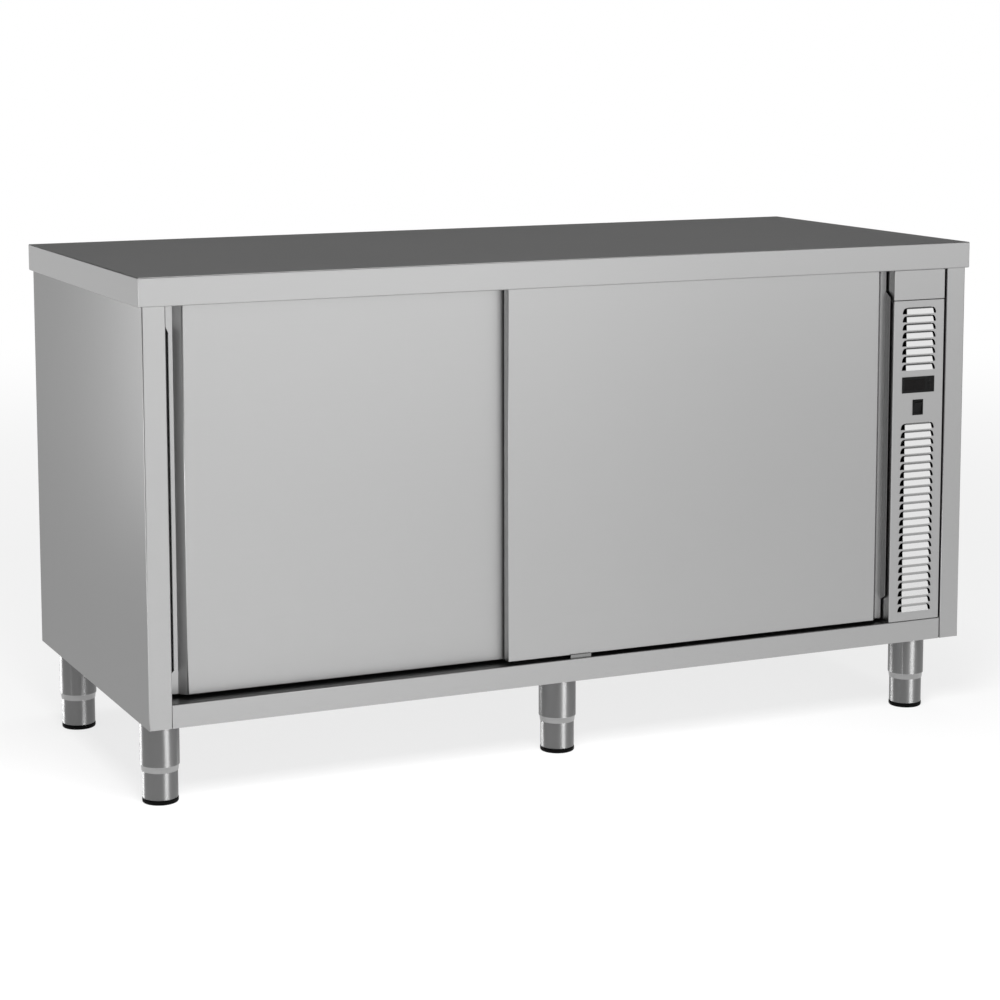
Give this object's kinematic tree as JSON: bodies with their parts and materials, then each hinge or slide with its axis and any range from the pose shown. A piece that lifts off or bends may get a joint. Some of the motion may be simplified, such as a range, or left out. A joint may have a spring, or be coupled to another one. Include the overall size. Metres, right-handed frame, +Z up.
{
  "type": "hot cupboard",
  "caption": "Free-standing stainless steel hot cupboard with a flat worktop, sliding doors, a fan-heated chamber with a shelf, and a louvred control column, on adjustable legs.",
  "frame": {"origin": "on the floor, under the middle of the worktop", "axes": "+X to the right seen from the front, -Y to the front where the doors are, +Z up"},
  "size_m": [1.6, 0.7, 0.89],
  "materials": {
    "outer_steel": "brushed satin stainless steel",
    "worktop_steel": "fine brushed stainless steel",
    "leg_steel": "polished stainless tube",
    "inner_steel": "satin stainless steel",
    "zinc_steel": "zinc plated",
    "board": "raw moisture-proof board",
    "insulation": "mineral wool slab",
    "black_plastic": "satin moulded",
    "key_plastic": "satin moulded",
    "display_window": "smoked, glossy",
    "roller_nylon": "nylon",
    "motor_metal": "black lacquer",
    "impeller_metal": "pressed sheet",
    "heater_steel": "heat-darkened sheath",
    "terminal_plastic": "ivory moulded",
    "foot_rubber": "moulded"
  },
  "bodies": {
    "cabinet": {"left_side_panel": "outer_steel", "right_side_panel": "outer_steel", "back_panel": "outer_steel", "base_panel": "outer_steel", "fascia_strip": "outer_steel", "control_panel": "outer_steel", "worktop": "worktop_steel", "leg_sleeves": "leg_steel", "left_liner": "inner_steel", "back_liner": "inner_steel", "ceiling_liner": "inner_steel", "partition": "inner_steel", "shelf": "inner_steel", "shelf_uprights": "inner_steel", "fan_guard": "inner_steel", "door_guide": "inner_steel", "base_rails": "zinc_steel", "door_track": "zinc_steel", "shelf_clips": "zinc_steel", "leg_bolts": "zinc_steel", "back_screws": "zinc_steel", "worktop_core": "board", "left_insulation": "insulation", "back_insulation": "insulation", "top_insulation": "insulation", "controller_case": "black_plastic", "switch_housing": "black_plastic", "cable_gland": "black_plastic", "controller_window": "display_window", "fan_motor": "motor_metal", "heating_element": "heater_steel", "terminal_block": "terminal_plastic"},
    "left_door": {"left_door_front": "outer_steel", "left_door_back": "inner_steel", "left_door_hangers": "zinc_steel"},
    "right_door": {"right_door_front": "outer_steel", "right_door_back": "inner_steel", "right_door_hangers": "zinc_steel"},
    "left_door_roller_outer": {"left_door_roller_outer": "roller_nylon"},
    "left_door_roller_inner": {"left_door_roller_inner": "roller_nylon"},
    "right_door_roller_outer": {"right_door_roller_outer": "roller_nylon"},
    "right_door_roller_inner": {"right_door_roller_inner": "roller_nylon"},
    "key_set": {"key_set": "key_plastic"},
    "key_up": {"key_up": "key_plastic"},
    "key_down": {"key_down": "key_plastic"},
    "switch_rocker": {"switch_rocker": "black_plastic"},
    "fan": {"fan_shaft": "zinc_steel", "fan_impeller": "impeller_metal"},
    "foot_front_left": {"foot_front_left": "leg_steel", "pad_front_left": "foot_rubber"},
    "foot_front_middle": {"foot_front_middle": "leg_steel", "pad_front_middle": "foot_rubber"},
    "foot_front_right": {"foot_front_right": "leg_steel", "pad_front_right": "foot_rubber"},
    "foot_back_left": {"foot_back_left": "leg_steel", "pad_back_left": "foot_rubber"},
    "foot_back_middle": {"foot_back_middle": "leg_steel", "pad_back_middle": "foot_rubber"},
    "foot_back_right": {"foot_back_right": "leg_steel", "pad_back_right": "foot_rubber"}
  },
  "joints": [
    {"name": "left_door_slide", "type": "slide", "parent": "cabinet", "child": "left_door", "axis": [1, 0, 0], "range_m": [0, 0.6]},
    {"name": "right_door_slide", "type": "slide", "parent": "cabinet", "child": "right_door", "axis": [1, 0, 0], "range_m": [-0.6, 0]},
    {"name": "left_door_roller_outer_spin", "type": "hinge", "parent": "left_door", "child": "left_door_roller_outer", "pos_m": [-0.62, -0.3125, 0.8648], "axis": [0, 1, 0], "continuous": true},
    {"name": "left_door_roller_inner_spin", "type": "hinge", "parent": "left_door", "child": "left_door_roller_inner", "pos_m": [-0.085, -0.3125, 0.8648], "axis": [0, 1, 0], "continuous": true},
    {"name": "right_door_roller_outer_spin", "type": "hinge", "parent": "right_door", "child": "right_door_roller_outer", "pos_m": [0.515, -0.3355, 0.8648], "axis": [0, 1, 0], "continuous": true},
    {"name": "right_door_roller_inner_spin", "type": "hinge", "parent": "right_door", "child": "right_door_roller_inner", "pos_m": [-0.02, -0.3355, 0.8648], "axis": [0, 1, 0], "continuous": true},
    {"name": "key_set_press", "type": "slide", "parent": "cabinet", "child": "key_set", "axis": [0, 1, 0], "range_m": [0, 0.0006], "stiffness_N_per_m": 600},
    {"name": "key_up_press", "type": "slide", "parent": "cabinet", "child": "key_up", "axis": [0, 1, 0], "range_m": [0, 0.0006], "stiffness_N_per_m": 600},
    {"name": "key_down_press", "type": "slide", "parent": "cabinet", "child": "key_down", "axis": [0, 1, 0], "range_m": [0, 0.0006], "stiffness_N_per_m": 600},
    {"name": "switch_rocker_tilt", "type": "hinge", "parent": "cabinet", "child": "switch_rocker", "pos_m": [0.694, -0.342, 0.5855], "axis": [-1, 0, 0], "range_deg": [0, 16]},
    {"name": "fan_spin", "type": "hinge", "parent": "cabinet", "child": "fan", "pos_m": [0.606, 0.02, 0.5135], "axis": [1, 0, 0], "continuous": true},
    {"name": "foot_front_left_extend", "type": "slide", "parent": "cabinet", "child": "foot_front_left", "axis": [0, 0, 1], "range_m": [-0.03, 0]},
    {"name": "foot_front_middle_extend", "type": "slide", "parent": "cabinet", "child": "foot_front_middle", "axis": [0, 0, 1], "range_m": [-0.03, 0]},
    {"name": "foot_front_right_extend", "type": "slide", "parent": "cabinet", "child": "foot_front_right", "axis": [0, 0, 1], "range_m": [-0.03, 0]},
    {"name": "foot_back_left_extend", "type": "slide", "parent": "cabinet", "child": "foot_back_left", "axis": [0, 0, 1], "range_m": [-0.03, 0]},
    {"name": "foot_back_middle_extend", "type": "slide", "parent": "cabinet", "child": "foot_back_middle", "axis": [0, 0, 1], "range_m": [-0.03, 0]},
    {"name": "foot_back_right_extend", "type": "slide", "parent": "cabinet", "child": "foot_back_right", "axis": [0, 0, 1], "range_m": [-0.03, 0]}
  ],
  "couplings": [
    {"joint": "left_door_roller_outer_spin", "follows": "left_door_slide", "rad_per_m": 100},
    {"joint": "left_door_roller_inner_spin", "follows": "left_door_slide", "rad_per_m": 100},
    {"joint": "right_door_roller_outer_spin", "follows": "right_door_slide", "rad_per_m": 100},
    {"joint": "right_door_roller_inner_spin", "follows": "right_door_slide", "rad_per_m": 100}
  ]
}
